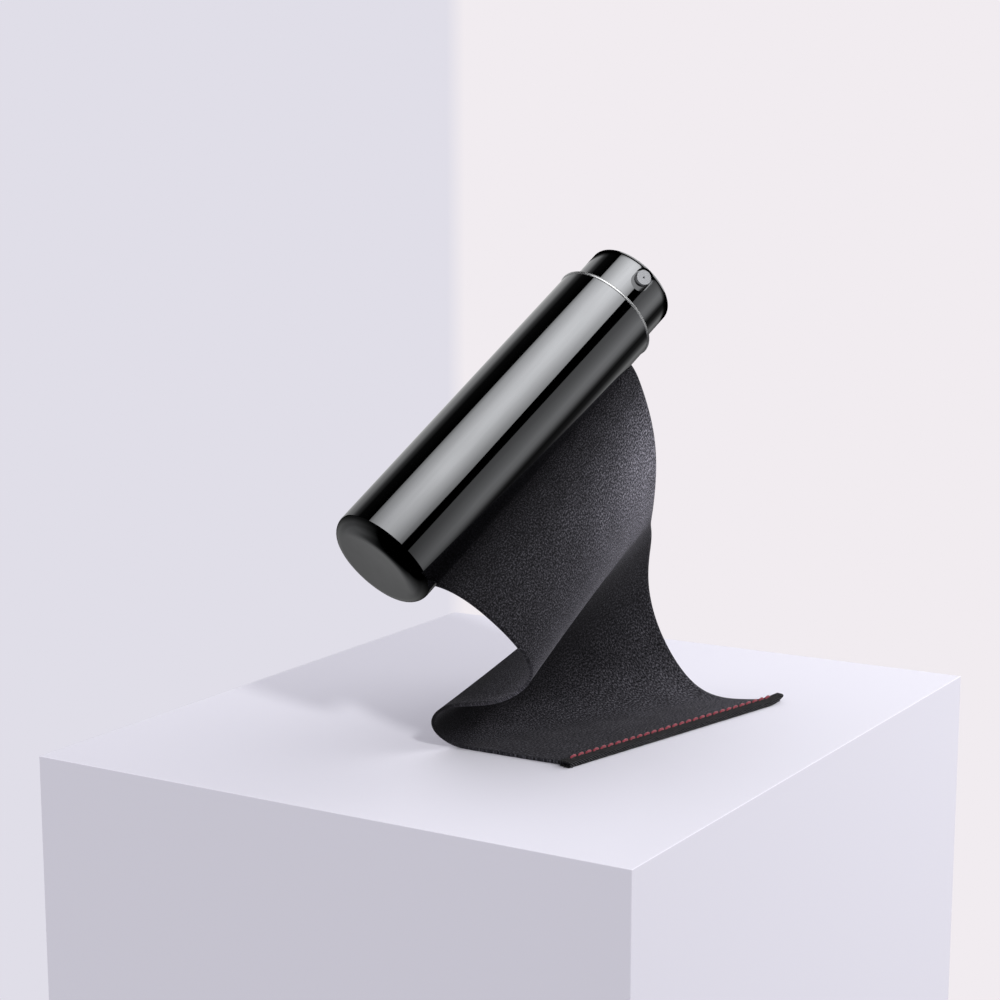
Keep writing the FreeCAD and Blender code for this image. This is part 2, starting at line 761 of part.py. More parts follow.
def cloth_edges():
    """Curves of the cloth's two cut edges, from the hem to the end of the bond, and their stations."""
    heading = math.radians(named("hem_heading"))
    hem = Vector(math.cos(heading), math.sin(heading), 0) * (named("cloth_width") / 2)
    lift = Vector(0, 0, named("hem_thickness") / 2)
    radius = named("shell_dia") / 2 + named("bond_thickness") + named("cloth_thickness") / 2
    start = named("cloth_start")
    heights = (start, start + named("cloth_width") - named("cloth_inset"))
    sides = []
    for side, hem_end in enumerate((lift - hem, lift + hem)):
        spots = [hem_end] + [Vector(*row[side]) for row in DRAPE]
        first = named("bond_azimuth") + named("bond_skew") * side
        last = named("bond_azimuth") + named("bond_angle")
        for step in range(ARC_STEPS + 1):
            azimuth = first + (last - first) * step / ARC_STEPS
            spots.append(shell_point(azimuth, radius, heights[side]))
        sides.append(spots)
    stations = [0.0]
    for left, right in zip(zip(sides[0], sides[0][1:]), zip(sides[1], sides[1][1:])):
        stride = (left[0].distanceToPoint(left[1]) + right[0].distanceToPoint(right[1])) / 2
        stations.append(stations[-1] + stride)
    curves = []
    for spots in sides:
        curve = Part.BSplineCurve()
        curve.interpolate(Points=spots, Parameters=stations)
        curves.append(curve)
    return curves, stations


def ruled_face(first, second):
    """Face of straight rulings between two curves with the same knots."""
    surface = Part.BSplineSurface()
    surface.buildFromPolesMultsKnots(
        [first.getPoles(), second.getPoles()],
        [2, 2],
        first.getMultiplicities(),
        [0, 1],
        first.getKnots(),
        False,
        False,
        1,
        first.Degree,
    )
    return surface.toShape()


def make_cloth():
    """Ruled faces half the cloth's thickness either side of its middle, closed along the cuts."""
    (left, right), stations = cloth_edges()
    offset = named("cloth_thickness") / 2
    places = []
    for first, last in zip(stations, stations[1:]):
        for step in range(SAMPLES_PER_SPAN):
            places.append(first + (last - first) * step / SAMPLES_PER_SPAN)
    places.append(stations[-1])
    rims = {}
    for side, curve in enumerate((left, right)):
        for face in (-1, 1):
            spots = []
            for here in places:
                square = (right.value(here) - left.value(here)).cross(curve.getD1(here)[1])
                square.normalize()
                spots.append(curve.value(here) + square * (offset * face))
            rim = Part.BSplineCurve()
            rim.interpolate(Points=spots, Parameters=places)
            rims[side, face] = rim
    faces = [ruled_face(rims[first], rims[second]) for first, second in (
        ((0, -1), (1, -1)),
        ((0, 1), (1, 1)),
        ((0, -1), (0, 1)),
        ((1, -1), (1, 1)),
    )]
    for end in (stations[0], stations[-1]):
        ring = [rims[key].value(end) for key in ((0, -1), (1, -1), (1, 1), (0, 1))]
        patch = Part.BSplineSurface()
        corners = [ring[:2], [ring[3], ring[2]]]
        patch.buildFromPolesMultsKnots(corners, [2, 2], [2, 2], [0, 1], [0, 1], False, False, 1, 1)
        faces.append(patch.toShape())
    skin = Part.makeCompound(faces)
    skin.sewShape()
    solid = Part.Solid(skin.Shells[0])
    if solid.Volume < 0:
        solid.reverse()
    cloth = doc.addObject("Part::Feature", "cloth")
    cloth.Shape = solid
    keep(cloth, "cloth", Placement())


def make_hem():
    """Binding folded round the cloth's edge, with a slot that the edge lies in."""
    turn = Rotation(Vector(0, 0, 1), named("hem_heading"))
    body = new_body("hem_binding", Placement(Vector(0, 0, 0), turn))
    sketch = sketch_on(body, "hem_section", "YZ_Plane")
    outer = "-Sizes.hem_fold"
    inner = "Sizes.hem_width - Sizes.hem_fold"
    under = "Sizes.hem_wall"
    over = "Sizes.hem_thickness - Sizes.hem_wall"
    slot = "-Sizes.seat_gap"
    outline(sketch, [
        (outer, "0"),
        (inner, "0"),
        (inner, under),
        (slot, under),
        (slot, over),
        (inner, over),
        (inner, "Sizes.hem_thickness"),
        (outer, "Sizes.hem_thickness"),
    ])
    strip = body.newObject("PartDesign::Pad", "hem_strip")
    strip.Profile = sketch
    strip.Midplane = True
    strip.setExpression("Length", "Sizes.cloth_width + 2 * Sizes.hem_overhang")
    body.Tip = strip
    doc.recompute()
    folded = [
        "Edge%d" % index
        for index, edge in enumerate(strip.Shape.Edges, start=1)
        if edge.Length > named("cloth_width")
        and abs(edge.CenterOfMass.y + named("hem_fold")) < 1e-4
    ]
    soft = body.newObject("PartDesign::Fillet", "hem_edges")
    soft.Base = (strip, folded)
    soft.setExpression("Radius", "Sizes.hem_round")
    body.Tip = soft
    doc.recompute()


make_shell()
make_liner()
make_cushion()
make_vial()
make_gasket()
make_collar()
make_sleeve()
make_pump_housing()
make_retainer()
make_seal()
make_stem()
make_piston()
make_spring()
make_ball()
make_dip_tube()
make_core()
make_cover()
make_nozzle()
make_bond()
make_cloth()
make_hem()
doc.recompute()

for thing in doc.Objects:
    if "Invalid" in thing.State or "Error" in thing.State:
        raise RuntimeError("%s failed: %s" % (thing.Label, thing.State))
for part in parts:
    if part.Shape.isNull() or not part.Shape.isValid() or part.Shape.Volume <= 0:
        raise RuntimeError("%s has no sound shape" % part.Label)

os.makedirs("parts", exist_ok=True)
for part in parts:
    part.Shape.exportStep("parts/%s.step" % part.Label)
    print("%-16s %9.1f mm3 %3d faces" % (part.Label, part.Shape.Volume, len(part.Shape.Faces)))
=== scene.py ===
# %% [markdown]
# # A pocket lens cleaning spray on its cloth
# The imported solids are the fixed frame: every tube, cap and pump piece is already in its place.
# This file gives them their finishes, hangs the real cloth with its sewn hem, and lights the
# whole as a small studio would. All sizes are metres, written as millimetres times MM.

# %% The frame
import json
import math

import bpy
import numpy as np
from mathutils import Matrix, Vector, noise


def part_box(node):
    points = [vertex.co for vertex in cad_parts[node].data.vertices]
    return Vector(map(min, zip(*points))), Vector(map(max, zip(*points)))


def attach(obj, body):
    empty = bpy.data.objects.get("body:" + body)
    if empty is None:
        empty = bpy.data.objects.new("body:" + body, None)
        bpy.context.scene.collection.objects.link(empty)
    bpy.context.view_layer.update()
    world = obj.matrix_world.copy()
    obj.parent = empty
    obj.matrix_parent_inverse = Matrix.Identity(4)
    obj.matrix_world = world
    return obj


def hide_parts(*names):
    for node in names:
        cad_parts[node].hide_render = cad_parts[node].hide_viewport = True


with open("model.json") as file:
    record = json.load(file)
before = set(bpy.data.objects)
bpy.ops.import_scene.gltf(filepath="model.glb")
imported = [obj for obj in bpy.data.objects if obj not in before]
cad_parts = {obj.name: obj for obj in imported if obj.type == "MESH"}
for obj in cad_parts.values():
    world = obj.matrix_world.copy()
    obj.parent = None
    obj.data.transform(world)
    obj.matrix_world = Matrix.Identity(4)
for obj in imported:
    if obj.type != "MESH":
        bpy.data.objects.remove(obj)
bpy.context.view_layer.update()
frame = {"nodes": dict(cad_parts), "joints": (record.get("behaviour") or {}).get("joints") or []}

MM = 0.001

# %% [markdown]
# ## Where the bottle leans
# The refill slides along the bottle's axis, so its joint says how the bottle leans, and the
# collar's hinge gives a point on that axis. From these come two directions square to the axis:
# one to its upper side and one to its right-hand side, for bending cards and cloth round it.
# LEAN carries anything drawn upright at the origin over to the leaning bottle, with its own X
# towards the nozzle.

# %% The bottle's own directions
COLLAR_HINGE_HEIGHT = 85 * MM
joints = {joint["name"]: joint for joint in frame["joints"]}
axis = Vector(joints["refill_pull"]["axis"]).normalized()
on_axis = Vector(joints["collar_turn"]["pos_m"])
rightward = axis.cross(Vector((0, 0, 1))).normalized()
upward = rightward.cross(axis).normalized()
base = on_axis - axis * COLLAR_HINGE_HEIGHT
nozzle_low, nozzle_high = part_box("nozzle_insert")
nozzle_reach = (nozzle_low + nozzle_high) / 2 - base
nozzle_way = (nozzle_reach - axis * nozzle_reach.dot(axis)).normalized()
turned = Matrix((nozzle_way, axis.cross(nozzle_way), axis)).transposed()
LEAN = Matrix.Translation(base) @ turned.to_4x4()
print("axis", [round(x, 4) for x in axis], "base", [round(x, 4) for x in base])


def about_axis(azimuth, polar):
    """Direction at an azimuth from the bottle's upper side and at an angle from its axis."""
    turn = math.radians(azimuth)
    ring = upward * math.cos(turn) + rightward * math.sin(turn)
    return axis * math.cos(math.radians(polar)) + ring * math.sin(math.radians(polar))


# %% [markdown]
# ## Camera
# A long lens from a little above the table, about six hundred millimetres away, keeps the
# bottle's sides nearly parallel. A short lens from close by would show more of its roundness, but
# it would swell the base and shrink the head.

# %% Camera
LENS_LENGTH = 80.64
SENSOR_WIDTH = 36
CAMERA_PLACE = (-52.1, -622.7, 185.0)
CAMERA_TILT = math.radians(79.4)
camera_data = bpy.data.cameras.new("product_lens")
camera_data.lens = LENS_LENGTH
camera_data.sensor_width = SENSOR_WIDTH
camera = bpy.data.objects.new("product_camera", camera_data)
camera.location = Vector(CAMERA_PLACE) * MM
camera.rotation_euler = (CAMERA_TILT, 0, 0)
bpy.context.scene.collection.objects.link(camera)
bpy.context.scene.camera = camera
bpy.context.scene.view_settings.view_transform = "Standard"
print("camera lens", camera_data.lens)

# %% [markdown]
# ## The block and the walls
# The spray stands on a square pale block before two plain walls. Only the block is built. The
# walls are the world's colour as the camera sees it, cool on the left and warm on the right. The
# cloth and the block take their soft fill from a second, even colour, and the mirror metal sees
# neither: it gets a room of its own below. Wires between nodes do all this, so a few helpers
# come first: a ramp, a mix, a range and the three parts of a vector.


# %% Node helpers
def shades(tree, factor, stops):
    """A colour from a ramp; its stops are (position, grey or colour) pairs."""
    ramp = tree.nodes.new("ShaderNodeValToRGB")
    elements = ramp.color_ramp.elements
    while len(elements) < len(stops):
        elements.new(1.0)
    for element, (position, colour) in zip(elements, stops):
        element.position = position
        rgb = colour if hasattr(colour, "__len__") else (colour, colour, colour)
        element.color = (*rgb, 1)
    tree.links.new(factor, ramp.inputs["Fac"])
    return ramp.outputs["Color"]


def mix_of(tree, factor, first, second, blend="MIX"):
    """Two colours mixed; the factor and each colour are a socket or a plain value."""
    mix = tree.nodes.new("ShaderNodeMix")
    mix.data_type = "RGBA"
    mix.blend_type = blend
    for socket, part in (("Factor", factor), ("A", first), ("B", second)):
        if isinstance(part, bpy.types.NodeSocket):
            tree.links.new(part, mix.inputs[socket])
        else:
            mix.inputs[socket].default_value = part
    return mix.outputs["Result"]


def between(tree, factor, low, high, span=(0.3, 0.7)):
    """A number that runs from low to high as the factor runs over its span."""
    scale = tree.nodes.new("ShaderNodeMapRange")
    ends = {"From Min": span[0], "From Max": span[1], "To Min": low, "To Max": high}
    for socket, value in ends.items():
        scale.inputs[socket].default_value = value
    tree.links.new(factor, scale.inputs["Value"])
    return scale.outputs["Result"]


def parts_of(tree, vector):
    """The X, Y and Z of a vector, as sockets."""
    split = tree.nodes.new("ShaderNodeSeparateXYZ")
    tree.links.new(vector, split.inputs["Vector"])
    return split.outputs


print("node helpers ready")

# %% Walls and fill
COOL_WALL = (0.745, 0.73, 0.807)
WARM_WALL = (0.88, 0.838, 0.871)
WALL_STOPS = [(0.0, COOL_WALL), (0.4905, COOL_WALL), (0.4915, WARM_WALL), (1.0, WARM_WALL)]
FILL = (0.69, 0.68, 0.73)
MIRROR_DARK = (0.004, 0.004, 0.0045)
world = bpy.data.worlds.new("studio")
bpy.context.scene.world = world
world.use_nodes = True
room = world.node_tree
direction = room.nodes.new("ShaderNodeTexCoord")
sideways = parts_of(room, direction.outputs["Generated"])["X"]
walls = shades(room, between(room, sideways, 0, 1, span=(-1, 1)), WALL_STOPS)
ray = room.nodes.new("ShaderNodeLightPath")
off_camera = mix_of(room, ray.outputs["Is Glossy Ray"], (*FILL, 1), (*MIRROR_DARK, 1))
whole_room = mix_of(room, ray.outputs["Is Camera Ray"], off_camera, walls)
room.links.new(whole_room, room.nodes["Background"].inputs["Color"])
print("world", world.name)

# %% [markdown]
# ### The block
# It is a pale lacquered block with barely softened edges. A cube is enough: its corners are moved
# to the block's own, and a narrow bevel makes the edge. The upright sides are painted darker than
# the top, as painted shade; the finish reads from which way each face looks.


# %% Piece and finish helpers
def new_piece(title, add, **shape):
    """One of Blender's own shapes as a new object, alone in the selection."""
    bpy.ops.object.select_all(action="DESELECT")
    add(**shape)
    piece = bpy.context.object
    piece.name = title
    return piece


def new_finish(title, colour, roughness, metallic=0.0):
    """A material with its shader's main values set, and its node tree."""
    material = bpy.data.materials.new(title)
    material.use_nodes = True
    tree = material.node_tree
    shader = tree.nodes["Principled BSDF"]
    shader.inputs["Base Color"].default_value = (*colour, 1)
    shader.inputs["Roughness"].default_value = roughness
    shader.inputs["Metallic"].default_value = metallic
    return material, tree, shader


print("piece and finish helpers ready")

# %% Block
BLOCK_DEPTH = 300 * MM
BLOCK_CORNERS = [(-180.6, -22.1), (-20.6, -113.8), (93.7, 63.3), (-68.0, 150.1)]
BLOCK_EDGE = 0.25 * MM
BLOCK_TOP_TONE = (0.86, 0.85, 0.91)
BLOCK_SIDE_SHADE = (0.62, 0.61, 0.66)
block_finish, tree, shader = new_finish("block_lacquer", BLOCK_TOP_TONE, 0.6)
shader.inputs["Specular IOR Level"].default_value = 0.1
facing = tree.nodes.new("ShaderNodeNewGeometry")
upness = parts_of(tree, facing.outputs["True Normal"])["Z"]
# Painted shade: faces that look sideways take the darker side colour.
tone = shades(tree, upness, [(0.0, BLOCK_SIDE_SHADE), (0.3, BLOCK_SIDE_SHADE), (0.9, BLOCK_TOP_TONE)])
tree.links.new(tone, shader.inputs["Base Color"])
block = new_piece("table_block", bpy.ops.mesh.primitive_cube_add, size=2)
for corner in block.data.vertices:
    left = corner.co.x < 0
    index = (0 if left else 3) if corner.co.y > 0 else (1 if left else 2)
    x, y = BLOCK_CORNERS[index]
    corner.co = Vector((x * MM, y * MM, 0 if corner.co.z > 0 else -BLOCK_DEPTH))
softened = block.modifiers.new("softened", "BEVEL")
softened.width = BLOCK_EDGE
softened.segments = 3
bpy.ops.object.modifier_apply(modifier=softened.name)
block.data.materials.append(block_finish)
print("block", [round(x, 3) for x in block.dimensions])

# %% [markdown]
# ### Lamps
# A sun from the front, fairly low, throws the bottle's soft shadow back to the left. A broad lamp
# on the right rakes over the cloth, so that its bulge is lit and its folds fall dark; the cloth's
# colour adds a painted highlight on the bulge and painted shade in the folds. The mirror metal does
# not see the lamps.


# %% Lamps
def lamp(title, kind, place, aim, energy, size):
    """A lamp aimed at a point; its size is an angle for a sun and a side for an area."""
    data = bpy.data.lights.new(title, kind)
    data.energy = energy
    if kind == "SUN":
        data.angle = size
    else:
        data.size = size
    light = bpy.data.objects.new(title, data)
    light.location = Vector(place) * MM
    way = Vector(aim) * MM - light.location
    light.rotation_euler = way.to_track_quat("-Z", "Y").to_euler()
    light.visible_camera = False
    light.visible_glossy = False
    bpy.context.scene.collection.objects.link(light)
    return light


front_sun = lamp(
    "front_sun", "SUN", place=(160, -442, 287), aim=(0, 0, 0), energy=1.25, size=math.radians(5)
)
side_lamp = lamp(
    "side_lamp", "AREA", place=(560, 60, 260), aim=(0, 0, 60), energy=1.9, size=500 * MM
)
print(front_sun.name, side_lamp.name)

# %% [markdown]
# ### The room in the mirror
# What a mirror finish shows is the room, so its room is a tent bent round the bottle: a tube of
# cloth about the same axis, glowing in long bands. A ray off the tube's side meets the tent at an
# azimuth set by where it left the tube, so each band becomes a straight strip with a hard or a
# soft edge as its glow has. The bands start at one place along the axis, which ends the strips
# square just above the rounded base. Each band gives its azimuth at the base and at the head,
# and its glow.
#
# The rounded base looks the other way, so it has a narrower card of its own, closed like a cup
# below it, and a plain disc closes the tent's far end for the head to see. A ready-made
# environment map would be less work, but its strips could not be set one by one.


# %% Card helpers
CARD_STEPS_PER_BAND = 10
CARD_ROWS = 40


def glowing(title, strength):
    """An emission finish, its tree and its emission node."""
    material = bpy.data.materials.new(title)
    material.use_nodes = True
    tree = material.node_tree
    tree.nodes.clear()
    emit = tree.nodes.new("ShaderNodeEmission")
    emit.inputs["Strength"].default_value = strength
    out = tree.nodes.new("ShaderNodeOutputMaterial")
    tree.links.new(emit.outputs["Emission"], out.inputs["Surface"])
    return material, tree, emit


def mirror_only(card):
    """Let nothing but the mirror metal see a card."""
    card.visible_camera = False
    card.visible_diffuse = False
    card.visible_shadow = False


def banded(title, foot, top, bands, fade, strength):
    """A glow that follows the bands across the card and a fade along it."""
    material, tree, emit = glowing(title + "_cloth", strength)
    own_map = tree.nodes.new("ShaderNodeTexCoord")
    spread = parts_of(tree, own_map.outputs["UV"])
    last = len(bands) - 1
    band_stops = [(index / last, band[2] / strength) for index, band in enumerate(bands)]
    fade_stops = [((height * MM - foot) / (top - foot), glow) for height, glow in fade]
    across_glow = shades(tree, spread["X"], band_stops)
    along_glow = shades(tree, spread["Y"], fade_stops)
    both = mix_of(tree, 1.0, across_glow, along_glow, "MULTIPLY")
    tree.links.new(both, emit.inputs["Color"])
    return material


def round_card(title, radius, foot, top, bands, fade, strength, closed=False):
    """A glowing card bent round the bottle's axis, with its bands at their azimuths.

    A closed card's first stretch, as long as the radius, folds in flat as the bottom of a cup.
    """
    last = len(bands) - 1
    card = new_piece(
        title, bpy.ops.mesh.primitive_grid_add,
        x_subdivisions=CARD_STEPS_PER_BAND * last, y_subdivisions=CARD_ROWS,
        size=2, calc_uvs=True,
    )
    places = np.linspace(0, 1, last + 1)
    for spot in card.data.vertices:
        across = (spot.co.x + 1) / 2
        along = (spot.co.y + 1) / 2
        azimuths = [band[0] + (band[1] - band[0]) * along for band in bands]
        azimuth = float(np.interp(across, places, azimuths))
        height = foot + (top - foot) * along
        reach = min(radius, height - foot) if closed else radius
        height = max(height, foot + radius) if closed else height
        spot.co = base + axis * height + about_axis(azimuth, 90) * reach
    card.data.materials.append(banded(title, foot, top, bands, fade, strength))
    mirror_only(card)
    return card


print("card helpers ready")

# %% The tent
TENT_BANDS = [
    (-118, -113, 0.769), (-82, -78, 0.868), (-66, -62, 0.868), (-54, -50, 0.211),
    (-42, -38, 0.019), (-15.4, -10.2, 0), (-15.1, -9.9, 1.302), (-8, -2, 2.604),
    (3, 9.5, 3.596), (14, 21, 4.588), (24, 33, 4.96), (34, 44, 4.588), (44, 56, 3.472),
    (51, 64, 2.604), (57.9, 70.7, 1.426), (58.2, 71, 0), (77.7, 88.2, 0), (78, 88.5, 0.446),
    (88, 99, 0.558), (102, 113, 0.843), (114, 125, 1.141), (123, 134, 1.017), (131, 142, 0.57),
    (137, 148, 0.186), (143, 154, 0.037), (158, 166, 0.062), (170, 175, 0.248),
    (182, 186, 0.521), (200, 202, 0.248), (226, 228, 0),
]
TENT_FADE = [
    (33.4, 0.0), (33.8, 0.58), (62, 0.79), (100, 0.84), (135, 0.94), (161.5, 1.0),
    (162.5, 0.0), (195, 0.0),
]
tent = round_card(
    "reflection_tent", radius=95 * MM, foot=-20 * MM, top=195 * MM,
    bands=TENT_BANDS, fade=TENT_FADE, strength=5.05,
)
print(tent.name, "with", len(TENT_BANDS), "bands")

# %% The card under the base and the tent's end
FOOT_BANDS = [
    (-330, -330, 0), (-225, -225, 0), (-195, -195, 0.2), (-165, -165, 0.44), (-130, -130, 0.5),
    (-70, -70, 0.46), (-35, -35, 0.4), (0, 0, 0.12), (20, 20, 0), (30, 30, 0),
]
FOOT_FADE = [
    (-85, 0.0), (-73, 0.08), (-60, 0.35), (-46, 0.8), (-32, 1.0), (-20, 1.0), (-15, 0.82),
    (-10, 0.74), (-4, 0.7), (2, 0.4), (8, 0.15), (12, 0.1),
]
TENT_END_RADIUS = 58 * MM
TENT_END_HEIGHT = 196 * MM
foot_card = round_card(
    "foot_card", radius=40 * MM, foot=-85 * MM, top=12 * MM,
    bands=FOOT_BANDS, fade=FOOT_FADE, strength=0.54, closed=True,
)
tent_end = new_piece(
    "tent_end", bpy.ops.mesh.primitive_circle_add,
    vertices=48, radius=TENT_END_RADIUS, fill_type="NGON",
)
tent_end.data.transform(Matrix.Translation(axis * TENT_END_HEIGHT) @ LEAN)
tent_end.data.materials.append(glowing("tent_end_cloth", strength=1.7)[0])
mirror_only(tent_end)
print("cards:", foot_card.name, tent_end.name)

# %% [markdown]
# ## Finishes
# Each finish starts from one shader and gets the small unevenness that the real surface has:
# polishing haze on the plated metal, turning rings on the anodised sleeve, the faint orange peel
# of moulded plastic. Patterns that follow the tube are turned to the bottle's own axis first.


# %% Pattern helpers
def own_place(tree, scale=(1, 1, 1), coordinates="Object"):
    """Coordinates that follow the piece: along the bottle's axis, or its own UV map."""
    source = tree.nodes.new("ShaderNodeTexCoord")
    turn = tree.nodes.new("ShaderNodeMapping")
    if coordinates == "Object":
        turn.vector_type = "TEXTURE"
        turn.inputs["Location"].default_value = base
        turn.inputs["Rotation"].default_value = LEAN.to_euler()
    tree.links.new(source.outputs[coordinates], turn.inputs["Vector"])
    stretch = tree.nodes.new("ShaderNodeMapping")
    stretch.inputs["Scale"].default_value = scale
    tree.links.new(turn.outputs["Vector"], stretch.inputs["Vector"])
    return stretch.outputs["Vector"]


def mottle(tree, place, scale, detail=3.0, roughness=0.55):
    """Soft noise at a given scale, per unit of the place that it is given."""
    spots = tree.nodes.new("ShaderNodeTexNoise")
    spots.inputs["Scale"].default_value = scale
    spots.inputs["Detail"].default_value = detail
    spots.inputs["Roughness"].default_value = roughness
    tree.links.new(place, spots.inputs["Vector"])
    return spots.outputs["Fac"]


def raise_by(tree, shader, factor, strength, distance):
    """Bump from a factor, as its node."""
    bump = tree.nodes.new("ShaderNodeBump")
    bump.inputs["Strength"].default_value = strength
    bump.inputs["Distance"].default_value = distance
    tree.links.new(factor, bump.inputs["Height"])
    tree.links.new(bump.outputs["Normal"], shader.inputs["Normal"])
    return bump


print("pattern helpers ready")

# %% [markdown]
# ### Black chrome
# The tube and the spray head are plated: a dark mirror, a little hazier where it was polished
# less. The haze is long along the axis, as a polishing wheel leaves it.

# %% Black chrome
black_chrome, tree, shader = new_finish("black_chrome", (0.12, 0.122, 0.126), 0.03, metallic=1.0)
haze = mottle(tree, own_place(tree, (260, 260, 30)), 1.0)
tree.links.new(between(tree, haze, 0.02, 0.055), shader.inputs["Roughness"])
tone = shades(tree, haze, [(0.3, (0.115, 0.117, 0.121)), (0.7, (0.128, 0.13, 0.135))])
tree.links.new(tone, shader.inputs["Base Color"])
print(black_chrome.name)

# %% [markdown]
# ### Anodised sleeve and spring wire
# The sleeve over the collar is taken to be turned before it is anodised, so fine rings run round
# it: noise squeezed hard along the axis. The spring and the ball are bare steel, whose drawn wire
# is only slightly uneven.

# %% Anodised aluminium and spring steel
satin_metal, tree, shader = new_finish("anodised_sleeve", (0.56, 0.57, 0.59), 0.3, metallic=1.0)
rings = mottle(tree, own_place(tree, (40, 40, 9000)), 1.0, 2.0)
tree.links.new(between(tree, rings, 0.22, 0.4), shader.inputs["Roughness"])
raise_by(tree, shader, rings, 0.15, 0.02 * MM)

spring_steel, tree, shader = new_finish("spring_steel", (0.62, 0.61, 0.6), 0.24, metallic=1.0)
drawn = mottle(tree, own_place(tree, (900, 900, 4000)), 1.0, 2.0)
tree.links.new(between(tree, drawn, 0.16, 0.34), shader.inputs["Roughness"])
print(satin_metal.name, spring_steel.name)

# %% [markdown]
# ### Moulded plastic
# The collar, the pump, the nozzle and the liner come out of moulds. Melt that flows in leaves
# faint marks in the colour, and the mould's own skin leaves a fine orange peel. One helper makes
# them all, since only the colour and the gloss change.


# %% Moulded plastics
def moulded(title, colour, roughness, darker=0.93):
    """Moulded plastic: soft flow marks in its colour and a fine orange peel."""
    material, tree, shader = new_finish(title, colour, roughness)
    flow = mottle(tree, own_place(tree, (90, 90, 60)), 1.0, 2.0)
    dark = tuple(part * darker for part in colour)
    tree.links.new(shades(tree, flow, [(0.35, dark), (0.65, colour)]), shader.inputs["Base Color"])
    peel = mottle(tree, own_place(tree), 2600.0, 2.0)
    gloss = between(tree, peel, roughness - 0.06, roughness + 0.08)
    tree.links.new(gloss, shader.inputs["Roughness"])
    raise_by(tree, shader, peel, 0.12, 0.02 * MM)
    return material


white_plastic = moulded("white_plastic", (0.82, 0.82, 0.80), 0.36)
grey_plastic = moulded("nozzle_plastic", (0.36, 0.37, 0.375), 0.3)
black_plastic = moulded("liner_plastic", (0.022, 0.022, 0.024), 0.4, darker=0.8)
tube_plastic = moulded("dip_tube_plastic", (0.80, 0.82, 0.83), 0.25)
print("moulded plastics ready")

# %% [markdown]
# ### Clear vial
# The vial is clear plastic and is seen only when the refill is pulled out. Light passes through
# it, bent as plastic bends it, and long draw marks make it a little hazy. Plain see-through
# colour would be quicker, but the vial would lose the bright edges that show its wall.

# %% Clear vial
clear_vial, tree, shader = new_finish("clear_vial", (0.93, 0.96, 0.97), 0.05)
shader.inputs["Transmission Weight"].default_value = 1.0
shader.inputs["IOR"].default_value = 1.52
draw = mottle(tree, own_place(tree, (300, 300, 40)), 1.0, 2.0)
tree.links.new(between(tree, draw, 0.02, 0.09), shader.inputs["Roughness"])
print(clear_vial.name)

# %% [markdown]
# ### Rubber, foam and tape
# Dull hidden pieces: the seals are moulded rubber, the pad under the vial is foam, and the cloth
# is stuck on with a strip of tape. The foam's small closed cells come from a pattern of cells,
# and the tape's face from noise that is stretched along the tube.

# %% Rubber, foam and tape
seal_rubber = moulded("seal_rubber", (0.018, 0.018, 0.019), 0.62, darker=0.7)

foam, tree, shader = new_finish("closed_cell_foam", (0.05, 0.05, 0.055), 0.85)
cells = tree.nodes.new("ShaderNodeTexVoronoi")
cells.inputs["Scale"].default_value = 1800
tree.links.new(own_place(tree), cells.inputs["Vector"])
hollow = cells.outputs["Distance"]
tone = shades(tree, hollow, [(0.0, (0.03, 0.03, 0.034)), (0.6, (0.075, 0.075, 0.08))])
tree.links.new(tone, shader.inputs["Base Color"])
raise_by(tree, shader, hollow, 0.6, 0.1 * MM)

tape, tree, shader = new_finish("mounting_tape", (0.04, 0.04, 0.042), 0.7)
streaks = mottle(tree, own_place(tree, (1500, 1500, 300)), 1.0)
tone = shades(tree, streaks, [(0.3, (0.025, 0.025, 0.027)), (0.7, (0.06, 0.06, 0.062))])
tree.links.new(tone, shader.inputs["Base Color"])
raise_by(tree, shader, streaks, 0.4, 0.05 * MM)
print(seal_rubber.name, foam.name, tape.name)

# %% [markdown]
# ### Who wears what
# Each solid keeps its shape and its place and only takes a finish. The finish goes on the object
# and not on its mesh. The button inside the head is moulded, but its edge shows in the recess
# and is dark there like the plating round it.

# %% Finishes on the solids
node_finish = {
    "outer_shell": black_chrome, "head_cover": black_chrome,
    "collar_sleeve": satin_metal, "return_spring": spring_steel, "inlet_ball": spring_steel,
    "pump_collar": white_plastic, "pump_housing": white_plastic, "stem_retainer": white_plastic,
    "pump_stem": white_plastic, "pump_piston": white_plastic, "actuator_core": black_chrome,
    "nozzle_insert": grey_plastic, "shell_liner": black_plastic, "dip_tube": tube_plastic,
    "vial": clear_vial, "neck_gasket": seal_rubber, "stem_seal": seal_rubber,
    "base_cushion": foam, "bond_strip": tape,
}
for node, finish in node_finish.items():
    for place in frame["nodes"][node].material_slots:
        place.link = "OBJECT"
        place.material = finish
print(len(node_finish), "solids finished")

# %% [markdown]
# ## The shell's rim
# The drawn tube ends in a fine bead, rolled and then polished through to brighter metal. It
# catches the light as a thin line between the tube and the head. A thin ring laid on the rim
# shows it, and is easier to place than a rounded edge cut into the solid.

# %% Rim bead
BEAD_HEIGHT = 100.95 * MM
BEAD_RADIUS = 14.78 * MM
BEAD_THICKNESS = 0.5 * MM
bright_edge, tree, shader = new_finish("polished_edge", (0.44, 0.445, 0.45), 0.12, metallic=1.0)
scuffs = mottle(tree, own_place(tree, (700, 700, 700)), 1.0, 2.0)
tree.links.new(between(tree, scuffs, 0.34, 0.44), shader.inputs["Roughness"])
tone = shades(tree, scuffs, [(0.3, (0.38, 0.385, 0.39)), (0.7, (0.5, 0.505, 0.51))])
tree.links.new(tone, shader.inputs["Base Color"])
bead = new_piece(
    "shell_rim_bead", bpy.ops.mesh.primitive_torus_add,
    major_segments=256, minor_segments=16, major_radius=BEAD_RADIUS, minor_radius=BEAD_THICKNESS,
)
bead.data.transform(LEAN @ Matrix.Translation((0, 0, BEAD_HEIGHT)))
bpy.ops.object.shade_smooth()
bead.data.materials.append(bright_edge)
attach(bead, "carrier")
